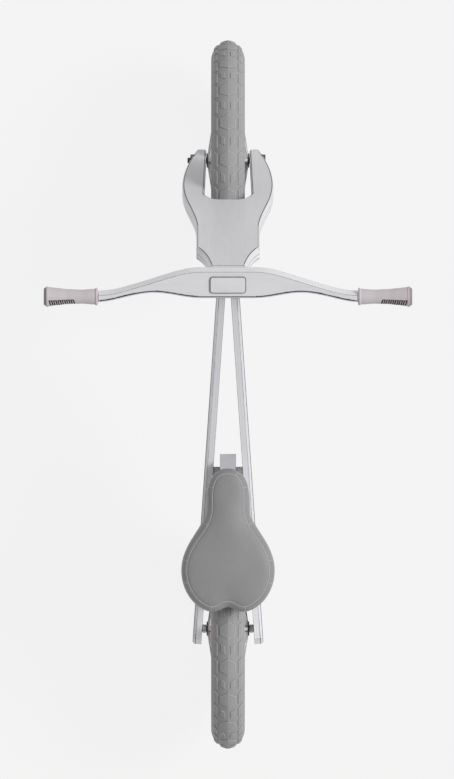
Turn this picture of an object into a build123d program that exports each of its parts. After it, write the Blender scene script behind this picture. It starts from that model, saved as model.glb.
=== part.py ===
from build123d import *
from math import atan, cos, radians, sin
import os

# Child's balance bike: a two-wheeled running bike without pedals, made from flat boards.
# Millimetres.  +Y is forward, +X is the rider's right, +Z is up.  The origin is on the
# ground, half way between the two wheels.

os.makedirs("parts", exist_ok=True)

# ---------------------------------------------------------------- driving dimensions

# wheels
WHEEL_RADIUS = 150.0
WHEELBASE = 584.0
TYRE_WIDTH = 42.0
RIM_RADIUS = 110.0
RIM_HALF_WIDTH = 15.0
RIM_DEPTH = 12.0
RIM_LIP = 4.0
RIM_LIP_WIDTH = 2.5
SPOKES = 10
SPOKE_THICKNESS = 5.0
SPOKE_EASE = 0.8
SPOKE_SUNK = 2.0
SPOKE_INSET = 3.0
HUB_HALF_LENGTH = 25.4
HUB_RADIUS = 9.5
BUSH_RADIUS = 7.0
BUSH_LENGTH = 14.0
BUSH_FLANGE_RADIUS = 8.8
BUSH_FLANGE = 1.2
AXLE_RADIUS = 4.0
WASHER = 1.2
WASHER_RADIUS = 7.5
SPOT_FACE_GAP = 1.5
NUT_FLATS = 13.0
NUT_HEIGHT = 4.6
NUT_GRIP = 0.2
STUB_RADIUS = 3.6
STUB_LENGTH = 2.7
STUB_CHAMFER = 0.4
SPACER_WALL = 1.2
REAR_CAP_RADIUS = 8.0
REAR_CAP_HEIGHT = 3.0
REAR_CAP_RECESS = 4.0
HEX_KEY = 5.0
HEX_SOCKET = 2.0

# steering geometry
HEAD_ANGLE = 70.0
FORK_OFFSET = 10.0

# fork boards: half widths across the bike and heights along the steering axis
FORK_FRONT = 8.0
FORK_BOARD = 9.0
FORK_TIP_DROP = 21.0
FORK_TIP_OUTER = 39.5
FORK_TIP_CORNER = 5.0
FORK_HIP = 55.3
FORK_HIP_HEIGHT = 145.0
FORK_SLOT_TIP = 26.9
FORK_SLOT_TOP = 29.4
FORK_SLOT_CLEARANCE = 17.0
FORK_SLOT_CORNER = 20.0
FORK_SLOT_CORNER_RISE = 27.0
FORK_NECK = 38.8
FORK_NECK_START = 270.0
FORK_NECK_END = 345.0
FORK_TOP_HALF = 20.8
FORK_SPOT_FACE = 41.0
FORK_EDGE_ROUND = 2.5
FORK_BACK_ROUND = 4.0
FORK_SCREW_SPOTS = ((42.0, 95.0), (42.0, 195.0), (29.0, 300.0), (20.0, 380.0))

# steering column and head
COLUMN_RADIUS = 6.0
COLUMN_STUD_RADIUS = 5.0
COLUMN_NUT_FLATS = 17.0
COLUMN_NUT_HEIGHT = 6.5
CROWN_ABOVE_SLOT = 11.0
CROWN_THICKNESS = 22.0
CROWN_HALF_WIDTH = 22.0
CROWN_DEPTH = 18.0
CROWN_EDGE_ROUND = 3.0
SPACER_RADIUS = 9.0
LUG_BOTTOM = 320.0
LUG_TOP = 402.0
LUG_TUBE_RADIUS = 12.0
LUG_HALF_WIDTH = 19.0
LUG_NECK_HALF = 8.0
LUG_SETBACK = 172.5
LUG_BOLT_SPOTS = ((345.0, 34.0), (384.0, 27.0))
HEAD_BUSH_RADIUS = 8.5
HEAD_BUSH_LENGTH = 16.0
HEAD_BUSH_FLANGE = 2.0

# handlebar
BAR_HEIGHT = 413.0
BAR_THICKNESS = 20.0
BAR_FRONT = 16.5
BAR_REAR = 18.7
BAR_STRAIGHT = 31.8
BAR_END = 159.0
BAR_END_CENTRE = -19.0
BAR_END_DEPTH = 10.0
BAR_FRONT_CURVE = ((0.285, 10.2), (0.52, 0.4), (0.764, -9.2))
BAR_REAR_CURVE = ((0.764, -18.4), (0.458, -11.7))
BAR_REAR_ROUND = 4.5
BAR_UNDER_ROUND = 3.0
NUT_POCKET_FLOOR = 7.0
NUT_POCKET_RADIUS = 10.1
STUD_SHOW = 0.8
TENON_RADIUS = 4.8
TENON_LENGTH = 60.0
GRIP_LENGTH = 63.0
GRIP_FLANGE_RADIUS = 12.6
GRIP_FLANGE = 2.0
GRIP_OUTER_RADIUS = 11.9
GRIP_WAIST_RADIUS = 8.6
GRIP_WAIST_AT = 20.0
GRIP_INNER_RADIUS = 9.6
GRIP_COLLAR_RADIUS = 11.1
GRIP_COLLAR = 4.0
GRIP_CAP = 3.4
GRIP_CAP_RADIUS = 12.2
GRIP_CAP_FACE = 9.9
GRIP_PLUG = 2.0
GRIP_BORE_GAP = 0.2
BADGE_WIDTH = 43.5
BADGE_DEPTH = 20.6
BADGE_THICKNESS = 3.0
BADGE_SUNK = 1.5
BADGE_CORNER = 3.0
BADGE_ROUND = 0.8

# side boards
BOARD_THICKNESS = 11.0
BOARD_GAP = 3.6
BOARD_GAP_SETBACK = 174.8
BOARD_SPLAY = 0.0695
BOARD_EDGE_ROUND = 3.8
BOARD_TAIL = 19.4
BOARD_CREST = 350.0
BOARD_MID_TOP = 188.0
BOARD_MID_BOTTOM = 107.0
BOARD_OVER_BLOCK = 3.0
BOARD_UNDER_BLOCK = 7.0
BOARD_ON_LUG = 10.0
BOARD_BEND = 4.0
LUG_BOARD_START = 20.0

# seat
BLOCK_TO_WHEEL = 18.0
BLOCK_LENGTH = 34.2
BLOCK_ABOVE_AXLE = 40.0
BLOCK_HEIGHT = 48.0
CARRIER_WIDTH = 19.8
CARRIER_NOSE = 16.0
CARRIER_NOSE_HEIGHT = 26.0
CARRIER_NOSE_ROUND = 2.5
CARRIER_OVER_WHEEL = 6.0
CARRIER_TOP_SETBACK = 16.2
CARRIER_REACH = 125.4
CARRIER_TAIL = 14.0
CARRIER_BELLY = (47.0, 15.7)
CARRIER_HEEL = 14.0
POST_LENGTH = 22.0
POST_WALL = 6.2
POST_BELOW_BLOCK = 35.0
SEAT_TRAVEL = 45.0
CLAMP_HEAD_RECESS = 1.0
CLAMP_NUT_REACH = 6.0
CLAMP_RADIUS = 3.0
CLAMP_HEAD_RADIUS = 5.5
CLAMP_HEAD = 4.0
PLATE_SETBACK = 75.4
PLATE_LENGTH = 80.0
PLATE_WIDTH = 46.0
PLATE_CORNER = 8.0
PLATE_EDGE = 8.0
PLATE_THICKNESS = 3.0
PAN_THICKNESS = 8.0
PAN_INSET = 5.0
CUSHION_THICKNESS = 44.0
SADDLE_BEFORE_BLOCK = 0.2
SADDLE_LENGTH = 180.8
SADDLE_NOSE_HALF = 27.4
SADDLE_HALF_WIDTH = 59.1
SADDLE_NOTCH = 10.0
CUSHION_TOP_ROUND = 6.0

# small fits
RUNNING = 0.05
SLIDE_GAP = 0.15
FACE_GAP = 0.3
SCREW_RADIUS = 2.0
SCREW_HEAD_RADIUS = 4.0
SCREW_HEAD = 1.6
SCREW_RECESS = 0.6
SADDLE_SCREW_HEAD = 2.2
SCREW_TIP_COVER = 5.0
BLOCK_SCREW_REACH = 8.0
BLOCK_SCREW_EDGE = (8.0, 6.0)
PLATE_SCREW_LENGTH = 22.0
LUG_BOLT_RADIUS = 2.5
LUG_BOLT_HEAD_RADIUS = 5.0
LUG_BOLT_HEAD = 3.0

# ---------------------------------------------------------------- derived frames

FRONT_AXLE = Vector(0, WHEELBASE / 2, WHEEL_RADIUS)
REAR_AXLE = Vector(0, -WHEELBASE / 2, WHEEL_RADIUS)
lean = radians(90 - HEAD_ANGLE)
AXIS_UP = Vector(0, -sin(lean), cos(lean))
AXIS_FORWARD = Vector(0, cos(lean), sin(lean))
FORK_BACK = FORK_FRONT - 2 * FORK_BOARD
slot_height = WHEEL_RADIUS + FORK_SLOT_CLEARANCE
crown_bottom = slot_height + CROWN_ABOVE_SLOT
crown_top = crown_bottom + CROWN_THICKNESS
gap_place = FRONT_AXLE.Y - BOARD_GAP_SETBACK
board_end = REAR_AXLE.Y - BOARD_TAIL
block_rear = REAR_AXLE.Y + WHEEL_RADIUS + BLOCK_TO_WHEEL
block_front = block_rear + BLOCK_LENGTH
block_bottom = WHEEL_RADIUS + BLOCK_ABOVE_AXLE
block_top = block_bottom + BLOCK_HEIGHT
saddle_front = block_front + SADDLE_BEFORE_BLOCK


def steering_plane(height):
    """Plane across the steering axis, x to the right and y forward."""
    origin = FRONT_AXLE - AXIS_FORWARD * FORK_OFFSET + AXIS_UP * height
    return Plane(origin=origin, x_dir=(1, 0, 0), z_dir=AXIS_UP)


def fork_plane(forward):
    """Plane of the fork boards, x to the right, y up the steering axis, z rearward."""
    origin = FRONT_AXLE + AXIS_FORWARD * forward
    return Plane(origin=origin, x_dir=(1, 0, 0), z_dir=AXIS_FORWARD * -1)


def lateral_plane(point, side=1):
    """Plane that faces outward along X on the given side, through a point."""
    return Plane(origin=point, x_dir=(0, side, 0), z_dir=(side, 0, 0))


def board_gap(y):
    """Half distance between the side boards' inner faces at a place along the bike."""
    return BOARD_GAP + BOARD_SPLAY * (gap_place - y)


splay = atan(BOARD_SPLAY)


def board_plane(side):
    """Inner face of a side board, x forward, y up, z outward on the right side."""
    origin = (side * board_gap(0), 0, 0)
    return Plane(origin=origin, x_dir=(-side * sin(splay), cos(splay), 0),
                 z_dir=(cos(splay), side * sin(splay), 0))


def along_board(y):
    """Distance along a side board for a place along the bike."""
    return y / cos(splay)


def finish(builder, name):
    """Label a finished piece and write it."""
    builder.part.label = name
    export_step(builder.part, f"parts/{name}.step")


# ---------------------------------------------------------------- wheels

tyre_half = TYRE_WIDTH / 2
tyre_centre = WHEEL_RADIUS - tyre_half


def make_tyre(name, axle):
    """Tyre: a round section seated on the rim between its lips."""
    with BuildPart() as tyre:
        with BuildSketch(Plane.XY):
            with Locations((0, tyre_centre)):
                Circle(tyre_half)
            with Locations((0, RIM_RADIUS / 2)):
                Rectangle(2 * TYRE_WIDTH, RIM_RADIUS, mode=Mode.SUBTRACT)
            with Locations((RIM_HALF_WIDTH, RIM_RADIUS), (-RIM_HALF_WIDTH, RIM_RADIUS)):
                Rectangle(2 * RIM_LIP_WIDTH, 2 * RIM_LIP, mode=Mode.SUBTRACT)
        revolve(axis=Axis.X)
    tyre.part = tyre.part.moved(Location(axle))
    finish(tyre, name)


def make_wheel_core(name, axle):
    """Moulded wheel: hub, plate spokes that taper outward, and rim with two lips."""
    with BuildPart() as core:
        with BuildSketch(Plane.XY):
            with Locations((0, RIM_RADIUS - RIM_DEPTH / 2)):
                Rectangle(2 * RIM_HALF_WIDTH, RIM_DEPTH)
            lip_at = RIM_HALF_WIDTH - RIM_LIP_WIDTH / 2
            with Locations((lip_at, RIM_RADIUS), (-lip_at, RIM_RADIUS)):
                Rectangle(RIM_LIP_WIDTH, 2 * RIM_LIP)
            with Locations((0, HUB_RADIUS / 2)):
                Rectangle(2 * HUB_HALF_LENGTH, HUB_RADIUS)
        revolve(axis=Axis.X)
        with BuildPart(mode=Mode.PRIVATE) as spoke:
            with BuildSketch(Plane.XY):
                with BuildLine():
                    root = HUB_RADIUS - SPOKE_SUNK
                    rim_seat = RIM_RADIUS - RIM_DEPTH + SPOKE_SUNK
                    outer = RIM_HALF_WIDTH - SPOKE_INSET
                    Polyline((HUB_HALF_LENGTH, root), (outer, rim_seat), (-outer, rim_seat),
                             (-HUB_HALF_LENGTH, root), close=True)
                make_face()
            extrude(amount=SPOKE_THICKNESS / 2, both=True)
            sides = spoke.faces().sort_by(Axis.X)
            long_edges = [edge for edge in sides[0].edges() + sides[-1].edges() if edge.length > SPOKE_THICKNESS]
            chamfer(long_edges, SPOKE_EASE)
        for k in range(SPOKES):
            add(spoke.part.rotate(Axis.X, 90 + k * 360 / SPOKES))
        bore = Plane(origin=(-HUB_HALF_LENGTH, 0, 0), z_dir=(1, 0, 0))
        with BuildSketch(bore):
            Circle(AXLE_RADIUS + 1)
        extrude(amount=2 * HUB_HALF_LENGTH, mode=Mode.SUBTRACT)
        for side in (-1, 1):
            with BuildSketch(lateral_plane((side * (HUB_HALF_LENGTH - BUSH_LENGTH), 0, 0), side)):
                Circle(BUSH_RADIUS)
            extrude(amount=BUSH_LENGTH, mode=Mode.SUBTRACT)
    core.part = core.part.moved(Location(axle))
    finish(core, name)


def make_hub_bush(name, axle, side):
    """Flanged plain bush pressed in a hub end."""
    start = HUB_HALF_LENGTH - BUSH_LENGTH
    with BuildPart() as bush:
        with BuildSketch(lateral_plane((side * start, 0, 0), side)):
            Circle(BUSH_RADIUS)
        extrude(amount=BUSH_LENGTH)
        with BuildSketch(lateral_plane((side * HUB_HALF_LENGTH, 0, 0), side)):
            Circle(BUSH_FLANGE_RADIUS)
        extrude(amount=BUSH_FLANGE)
        with BuildSketch(lateral_plane((side * start, 0, 0), side)):
            Circle(AXLE_RADIUS + RUNNING)
        extrude(amount=BUSH_LENGTH + BUSH_FLANGE, mode=Mode.SUBTRACT)
    bush.part = bush.part.moved(Location(axle))
    finish(bush, name)


for end_name, axle_point in (("front", FRONT_AXLE), ("rear", REAR_AXLE)):
    make_tyre(f"{end_name}_tyre", axle_point)
    make_wheel_core(f"{end_name}_wheel_core", axle_point)
    make_hub_bush(f"{end_name}_hub_bush_left", axle_point, -1)
    make_hub_bush(f"{end_name}_hub_bush_right", axle_point, 1)

# ---------------------------------------------------------------- fork boards

LUG_CLEARANCE = 1.2
groove_radius = LUG_TUBE_RADIUS + LUG_CLEARANCE


def fork_outline():
    """Right half of the fork outline, mirrored, in the plane of the boards."""
    with BuildSketch(mode=Mode.PRIVATE) as outline:
        with BuildLine():
            tip_inner = (FORK_SLOT_TIP, FORK_TIP_CORNER - FORK_TIP_DROP)
            tip_outer = (FORK_TIP_OUTER, FORK_TIP_CORNER - FORK_TIP_DROP)
            hip = (FORK_HIP, FORK_HIP_HEIGHT)
            neck = (FORK_NECK, FORK_NECK_START)
            shoulder = (FORK_NECK, FORK_NECK_END)
            top = (FORK_TOP_HALF, BAR_HEIGHT)
            corner_across = FORK_SLOT_TOP - FORK_SLOT_CORNER
            corner_low = slot_height - FORK_SLOT_CORNER_RISE
            Line((0, slot_height), (corner_across, slot_height))
            EllipticalCenterArc((corner_across, corner_low), FORK_SLOT_CORNER, FORK_SLOT_CORNER_RISE,
                                arc_size=90)
            Line((FORK_SLOT_TOP, corner_low), tip_inner)
            corner_in = (FORK_SLOT_TIP + FORK_TIP_CORNER, -FORK_TIP_DROP)
            corner_out = (FORK_TIP_OUTER - FORK_TIP_CORNER, -FORK_TIP_DROP)
            RadiusArc(tip_inner, corner_in, -FORK_TIP_CORNER)
            Line(corner_in, corner_out)
            RadiusArc(corner_out, tip_outer, -FORK_TIP_CORNER)
            Spline(tip_outer, hip, neck, tangents=((0.25, 1), (-0.05, 1)))
            Line(neck, shoulder)
            Spline(shoulder, top, tangents=((-0.55, 1), (-0.14, 1)))
            Line(top, (0, BAR_HEIGHT))
            Line((0, BAR_HEIGHT), (0, slot_height))
        make_face()
        mirror(about=Plane.YZ)
    return outline.sketch


with BuildPart() as fork_cuts:
    # round groove for the head, the axle hole and the spot faces under its washers
    with BuildSketch(steering_plane(crown_top)):
        Circle(groove_radius)
    extrude(amount=BAR_HEIGHT - crown_top)
    with BuildSketch(lateral_plane(FRONT_AXLE - Vector(FORK_HIP, 0, 0))):
        Circle(AXLE_RADIUS + RUNNING)
    extrude(amount=2 * FORK_HIP)
    for side in (-1, 1):
        spot = FRONT_AXLE + Vector(side * FORK_SPOT_FACE, 0, 0)
        with BuildSketch(lateral_plane(spot, side)):
            Circle(WASHER_RADIUS + SPOT_FACE_GAP)
        extrude(amount=FORK_HIP - FORK_SPOT_FACE)


outline_2d = fork_outline()
seam = FORK_FRONT - FORK_BOARD

with BuildPart() as fork_front_board:
    with BuildSketch(fork_plane(FORK_FRONT)):
        add(outline_2d)
    extrude(amount=FORK_BOARD)
    face = fork_front_board.faces().sort_by(Axis(FRONT_AXLE, AXIS_FORWARD))[-1]
    top_line = face.edges().sort_by(Axis(FRONT_AXLE, AXIS_UP))[-1]
    rounded = face.edges() - ShapeList([top_line])
    fillet(rounded, FORK_EDGE_ROUND)
    add(fork_cuts.part, mode=Mode.SUBTRACT)

with BuildPart() as fork_back_board:
    with BuildSketch(fork_plane(seam)):
        add(outline_2d)
    extrude(amount=FORK_BOARD)
    face = fork_back_board.faces().sort_by(Axis(FRONT_AXLE, AXIS_FORWARD))[0]
    top_line = face.edges().sort_by(Axis(FRONT_AXLE, AXIS_UP))[-1]
    rounded = face.edges() - ShapeList([top_line])
    fillet(rounded, FORK_BACK_ROUND)
    add(fork_cuts.part, mode=Mode.SUBTRACT)
    with BuildSketch(fork_plane(seam)):
        with Locations((0, (crown_bottom + crown_top) / 2)):
            Rectangle(2 * CROWN_HALF_WIDTH, CROWN_THICKNESS)
    extrude(amount=FORK_BOARD, mode=Mode.SUBTRACT)

with BuildPart() as fork_crown_block:
    with BuildSketch(fork_plane(seam)):
        with Locations((0, (crown_bottom + crown_top) / 2)):
            Rectangle(2 * CROWN_HALF_WIDTH, CROWN_THICKNESS)
    extrude(amount=FORK_BOARD + CROWN_DEPTH)
    back_face = fork_crown_block.faces().sort_by(Axis(FRONT_AXLE, AXIS_FORWARD))[0]
    fillet(back_face.edges(), CROWN_EDGE_ROUND)
    with BuildSketch(steering_plane(crown_bottom)):
        Circle(COLUMN_RADIUS)
    extrude(amount=CROWN_THICKNESS, mode=Mode.SUBTRACT)
finish(fork_crown_block, "fork_crown_block")

# screws that join the two boards from behind, below and above the crown
screw_length = 2 * FORK_BOARD - SCREW_TIP_COVER
with BuildPart() as fork_screws:
    with BuildSketch(fork_plane(FORK_BACK)):
        for w, s in FORK_SCREW_SPOTS:
            with Locations((w, s), (-w, s)):
                Circle(SCREW_RADIUS)
    extrude(amount=-screw_length)
    with BuildSketch(fork_plane(FORK_BACK)):
        for w, s in FORK_SCREW_SPOTS:
            with Locations((w, s), (-w, s)):
                Circle(SCREW_HEAD_RADIUS)
    extrude(amount=-SCREW_HEAD)
finish(fork_screws, "fork_screws")

fork_boards = ((fork_front_board, "fork_front_board"), (fork_back_board, "fork_back_board"))
for board, board_name in fork_boards:
    with BuildPart() as drilled:
        add(board.part)
        add(fork_screws.part, mode=Mode.SUBTRACT)
    finish(drilled, board_name)

# ---------------------------------------------------------------- front axle

nut_outer = FORK_SPOT_FACE + WASHER + NUT_HEIGHT
stub_cone = AXLE_RADIUS - STUB_RADIUS

with BuildPart() as front_axle:
    shoulder = FRONT_AXLE - Vector(nut_outer + NUT_GRIP + stub_cone, 0, 0)
    with BuildSketch(lateral_plane(shoulder)):
        Circle(AXLE_RADIUS)
    extrude(amount=nut_outer + NUT_GRIP + stub_cone + FORK_SPOT_FACE + WASHER)
    chamfer(front_axle.faces().sort_by(Axis.X)[0].edges(), stub_cone)
    with BuildSketch(lateral_plane(shoulder, -1)):
        Circle(STUB_RADIUS)
    extrude(amount=STUB_LENGTH + STUB_CHAMFER)
    head_seat = FRONT_AXLE + Vector(FORK_SPOT_FACE + WASHER, 0, 0)
    with BuildSketch(lateral_plane(head_seat)):
        RegularPolygon(NUT_FLATS / 2, 6, major_radius=False)
    extrude(amount=NUT_HEIGHT)
    tips = front_axle.faces().sort_by(Axis.X)
    chamfer(tips[0].edges(), STUB_CHAMFER)
    chamfer(tips[-1].edges(), STUB_CHAMFER)
finish(front_axle, "front_axle")

with BuildPart() as front_axle_nut:
    nut_seat = FRONT_AXLE - Vector(FORK_SPOT_FACE + WASHER, 0, 0)
    with BuildSketch(lateral_plane(nut_seat, -1)):
        RegularPolygon(NUT_FLATS / 2, 6, major_radius=False)
        Circle(AXLE_RADIUS, mode=Mode.SUBTRACT)
    extrude(amount=NUT_HEIGHT)
finish(front_axle_nut, "front_axle_nut")

with BuildPart() as front_axle_washers:
    for side in (-1, 1):
        seat = FRONT_AXLE + Vector(side * FORK_SPOT_FACE, 0, 0)
        with BuildSketch(lateral_plane(seat, side)):
            Circle(WASHER_RADIUS)
            Circle(AXLE_RADIUS, mode=Mode.SUBTRACT)
        extrude(amount=WASHER)
finish(front_axle_washers, "front_axle_washers")

# ---------------------------------------------------------------- side boards

axis_at_ground = steering_plane(0).origin


def behind_axis(height, rearward):
    """Place (y, z) at a height on the steering axis and a distance behind it."""
    point = axis_at_ground + AXIS_UP * height - AXIS_FORWARD * rearward
    return (along_board(point.Y), point.Z)


def make_side_board(name, side):
    """Swept side board from the head lug to the rear axle, splayed outward to the rear."""
    over_block = (block_rear + BOARD_BEND, block_top + BOARD_OVER_BLOCK)
    under_block = (block_rear + BOARD_BEND, block_bottom - BOARD_UNDER_BLOCK)
    with BuildPart() as board:
        with BuildSketch(board_plane(side)):
            with BuildLine():
                top_front = behind_axis(LUG_TOP - BOARD_ON_LUG, LUG_BOARD_START)
                low_front = behind_axis(LUG_BOTTOM - HEAD_BUSH_FLANGE, LUG_BOARD_START)
                crease = (along_board(gap_place), WHEEL_RADIUS + BOARD_CREST)
                top_rear = (along_board(board_end + 6.7), WHEEL_RADIUS + 20)
                end_high = (along_board(board_end), WHEEL_RADIUS + 7)
                end_low = (along_board(board_end), WHEEL_RADIUS - 12)
                low_rear = (along_board(board_end + 14), WHEEL_RADIUS - 22)
                Line(top_front, crease)
                Spline(crease, (0, WHEEL_RADIUS + BOARD_MID_TOP), over_block, top_rear,
                       tangents=((-0.52, -0.85), (-1, -0.22)))
                Line(top_rear, end_high)
                Line(end_high, end_low)
                Line(end_low, low_rear)
                Spline(low_rear, under_block, (0, WHEEL_RADIUS + BOARD_MID_BOTTOM), low_front,
                       tangents=((1, 0.16), (0.42, 0.9)))
                Line(low_front, top_front)
            make_face()
        extrude(amount=side * BOARD_THICKNESS)
        outward = Axis((0, 0, 0), board_plane(side).z_dir * side)
        outer_face = board.faces().sort_by(outward)[-1]
        fillet(outer_face.edges(), BOARD_EDGE_ROUND)
    return board


# ---------------------------------------------------------------- rear axle

rear_floor = board_gap(REAR_AXLE.Y) + BOARD_THICKNESS - REAR_CAP_RECESS
flange_face = HUB_HALF_LENGTH + BUSH_FLANGE

with BuildPart() as rear_axle:
    with BuildSketch(lateral_plane(REAR_AXLE - Vector(rear_floor, 0, 0))):
        Circle(AXLE_RADIUS)
    extrude(amount=2 * rear_floor)
finish(rear_axle, "rear_axle")

with BuildPart() as rear_axle_caps:
    for side in (-1, 1):
        with BuildSketch(lateral_plane(REAR_AXLE + Vector(side * rear_floor, 0, 0), side)):
            Circle(REAR_CAP_RADIUS)
        extrude(amount=REAR_CAP_HEIGHT)
        cap_face = REAR_AXLE + Vector(side * (rear_floor + REAR_CAP_HEIGHT), 0, 0)
        with BuildSketch(lateral_plane(cap_face, side)):
            RegularPolygon(HEX_KEY / 2, 6, major_radius=False)
        extrude(amount=-HEX_SOCKET, mode=Mode.SUBTRACT)
finish(rear_axle_caps, "rear_axle_caps")

with BuildPart() as rear_axle_spacers:
    for side in (-1, 1):
        spacer_start = flange_face + FACE_GAP
        spacer_end = board_gap(REAR_AXLE.Y + AXLE_RADIUS + SPACER_WALL)
        with BuildSketch(lateral_plane(REAR_AXLE + Vector(side * spacer_start, 0, 0), side)):
            Circle(AXLE_RADIUS + SPACER_WALL)
            Circle(AXLE_RADIUS, mode=Mode.SUBTRACT)
        extrude(amount=spacer_end - spacer_start)
finish(rear_axle_spacers, "rear_axle_spacers")

# ---------------------------------------------------------------- seat block and clamp

post_front = block_front - POST_WALL
post_rear = post_front - POST_LENGTH
clamp_centre = Vector(0, (post_front + post_rear) / 2, (block_bottom + block_top) / 2)
clamp_seat = board_gap(clamp_centre.Y) + BOARD_THICKNESS - CLAMP_HEAD - CLAMP_HEAD_RECESS

with BuildPart() as seat_block:
    with BuildSketch(Plane.XY.offset(block_bottom)):
        with BuildLine():
            Polyline((board_gap(block_front), block_front), (board_gap(block_rear), block_rear),
                     (-board_gap(block_rear), block_rear), (-board_gap(block_front), block_front), close=True)
        make_face()
        with Locations((0, clamp_centre.Y)):
            Rectangle(CARRIER_WIDTH + 2 * SLIDE_GAP, POST_LENGTH + 2 * SLIDE_GAP, mode=Mode.SUBTRACT)
    extrude(amount=BLOCK_HEIGHT)
    with BuildSketch(lateral_plane(clamp_centre - Vector(clamp_seat, 0, 0))):
        Circle(CLAMP_RADIUS)
    extrude(amount=2 * clamp_seat, mode=Mode.SUBTRACT)

with BuildPart() as seat_clamp_bolt:
    with BuildSketch(lateral_plane(clamp_centre - Vector(clamp_seat, 0, 0))):
        Circle(CLAMP_RADIUS)
    extrude(amount=2 * clamp_seat)
    with BuildSketch(lateral_plane(clamp_centre + Vector(clamp_seat, 0, 0))):
        Circle(CLAMP_HEAD_RADIUS)
    extrude(amount=CLAMP_HEAD)
    with BuildSketch(lateral_plane(clamp_centre + Vector(clamp_seat + CLAMP_HEAD, 0, 0))):
        RegularPolygon(HEX_KEY / 2, 6, major_radius=False)
    extrude(amount=-HEX_SOCKET, mode=Mode.SUBTRACT)
finish(seat_clamp_bolt, "seat_clamp_bolt")

with BuildPart() as seat_clamp_nut:
    with BuildSketch(lateral_plane(clamp_centre - Vector(clamp_seat - CLAMP_NUT_REACH, 0, 0), -1)):
        Circle(CLAMP_HEAD_RADIUS)
        Circle(CLAMP_RADIUS, mode=Mode.SUBTRACT)
    extrude(amount=CLAMP_HEAD + CLAMP_NUT_REACH)
finish(seat_clamp_nut, "seat_clamp_nut")

# screws through each side board into the seat block
block_screw_y = block_front - BLOCK_LENGTH / 2
block_screw_heights = (block_bottom + BLOCK_SCREW_EDGE[0], block_top - BLOCK_SCREW_EDGE[1])
with BuildPart() as seat_block_screws:
    for side in (-1, 1):
        outer = board_gap(block_screw_y) + BOARD_THICKNESS - SCREW_RECESS
        for height in block_screw_heights:
            head = Vector(side * outer, block_screw_y, height)
            with BuildSketch(lateral_plane(head, side)):
                Circle(SCREW_RADIUS)
            extrude(amount=-(BOARD_THICKNESS + BLOCK_SCREW_REACH))
            with BuildSketch(lateral_plane(head, side)):
                Circle(SCREW_HEAD_RADIUS)
            extrude(amount=-SCREW_HEAD)
finish(seat_block_screws, "seat_block_screws")

with BuildPart() as seat_block_drilled:
    add(seat_block.part)
    add(seat_block_screws.part, mode=Mode.SUBTRACT)
    add(seat_clamp_nut.part, mode=Mode.SUBTRACT)
finish(seat_block_drilled, "seat_block")

# ---------------------------------------------------------------- head lug and its bolts

with BuildPart() as head_lug_bolts:
    for height, rearward in LUG_BOLT_SPOTS:
        centre = axis_at_ground + AXIS_UP * height - AXIS_FORWARD * rearward
        with BuildSketch(lateral_plane(centre - Vector(LUG_HALF_WIDTH + LUG_BOLT_HEAD, 0, 0))):
            Circle(LUG_BOLT_RADIUS)
        extrude(amount=2 * (LUG_HALF_WIDTH + LUG_BOLT_HEAD))
        for side in (-1, 1):
            with BuildSketch(lateral_plane(centre + Vector(side * LUG_HALF_WIDTH, 0, 0), side)):
                Circle(LUG_BOLT_HEAD_RADIUS)
            extrude(amount=LUG_BOLT_HEAD)
finish(head_lug_bolts, "head_lug_bolts")

lug_shoulder = LUG_BOARD_START - 1.0
lug_depth = 3 * LUG_HALF_WIDTH
lug_margin = LUG_TOP - LUG_BOTTOM
with BuildPart() as head_lug:
    with BuildSketch(steering_plane(LUG_BOTTOM)):
        with BuildLine():
            Polyline((LUG_NECK_HALF, 0), (LUG_NECK_HALF, -LUG_TUBE_RADIUS + 1),
                     (LUG_HALF_WIDTH, -lug_shoulder), (LUG_HALF_WIDTH, -lug_depth),
                     (-LUG_HALF_WIDTH, -lug_depth), (-LUG_HALF_WIDTH, -lug_shoulder),
                     (-LUG_NECK_HALF, -LUG_TUBE_RADIUS + 1), (-LUG_NECK_HALF, 0), close=True)
        make_face()
        Circle(LUG_TUBE_RADIUS)
    extrude(amount=LUG_TOP - LUG_BOTTOM)
    split(bisect_by=Plane(origin=(0, FRONT_AXLE.Y - LUG_SETBACK, 0), z_dir=(0, 1, 0)), keep=Keep.TOP)
    for side in (-1, 1):
        with BuildSketch(board_plane(side)):
            with BuildLine():
                Polyline(behind_axis(LUG_BOTTOM - lug_margin, LUG_BOARD_START),
                         behind_axis(LUG_TOP + lug_margin, LUG_BOARD_START),
                         behind_axis(LUG_TOP + lug_margin, 2 * lug_depth),
                         behind_axis(LUG_BOTTOM - lug_margin, 2 * lug_depth), close=True)
            make_face()
        extrude(amount=side * BOARD_THICKNESS, mode=Mode.SUBTRACT)
    with BuildSketch(steering_plane(LUG_BOTTOM)):
        Circle(COLUMN_RADIUS + 1)
    extrude(amount=LUG_TOP - LUG_BOTTOM, mode=Mode.SUBTRACT)
    for height in (LUG_BOTTOM, LUG_TOP - HEAD_BUSH_LENGTH):
        with BuildSketch(steering_plane(height)):
            Circle(HEAD_BUSH_RADIUS)
        extrude(amount=HEAD_BUSH_LENGTH, mode=Mode.SUBTRACT)
    add(head_lug_bolts.part, mode=Mode.SUBTRACT)
finish(head_lug, "head_lug")


def make_head_bush(name, end_height, direction):
    """Flanged bush at one end of the head lug."""
    with BuildPart() as bush:
        with BuildSketch(steering_plane(end_height)):
            Circle(HEAD_BUSH_RADIUS)
        extrude(amount=-direction * HEAD_BUSH_LENGTH)
        with BuildSketch(steering_plane(end_height)):
            Circle(LUG_TUBE_RADIUS - 1)
        extrude(amount=direction * HEAD_BUSH_FLANGE)
        with BuildSketch(steering_plane(end_height - direction * HEAD_BUSH_LENGTH)):
            Circle(COLUMN_RADIUS + RUNNING)
        extrude(amount=direction * (HEAD_BUSH_LENGTH + HEAD_BUSH_FLANGE), mode=Mode.SUBTRACT)
    finish(bush, name)


make_head_bush("head_bush_lower", LUG_BOTTOM, -1)
make_head_bush("head_bush_upper", LUG_TOP, 1)

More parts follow.
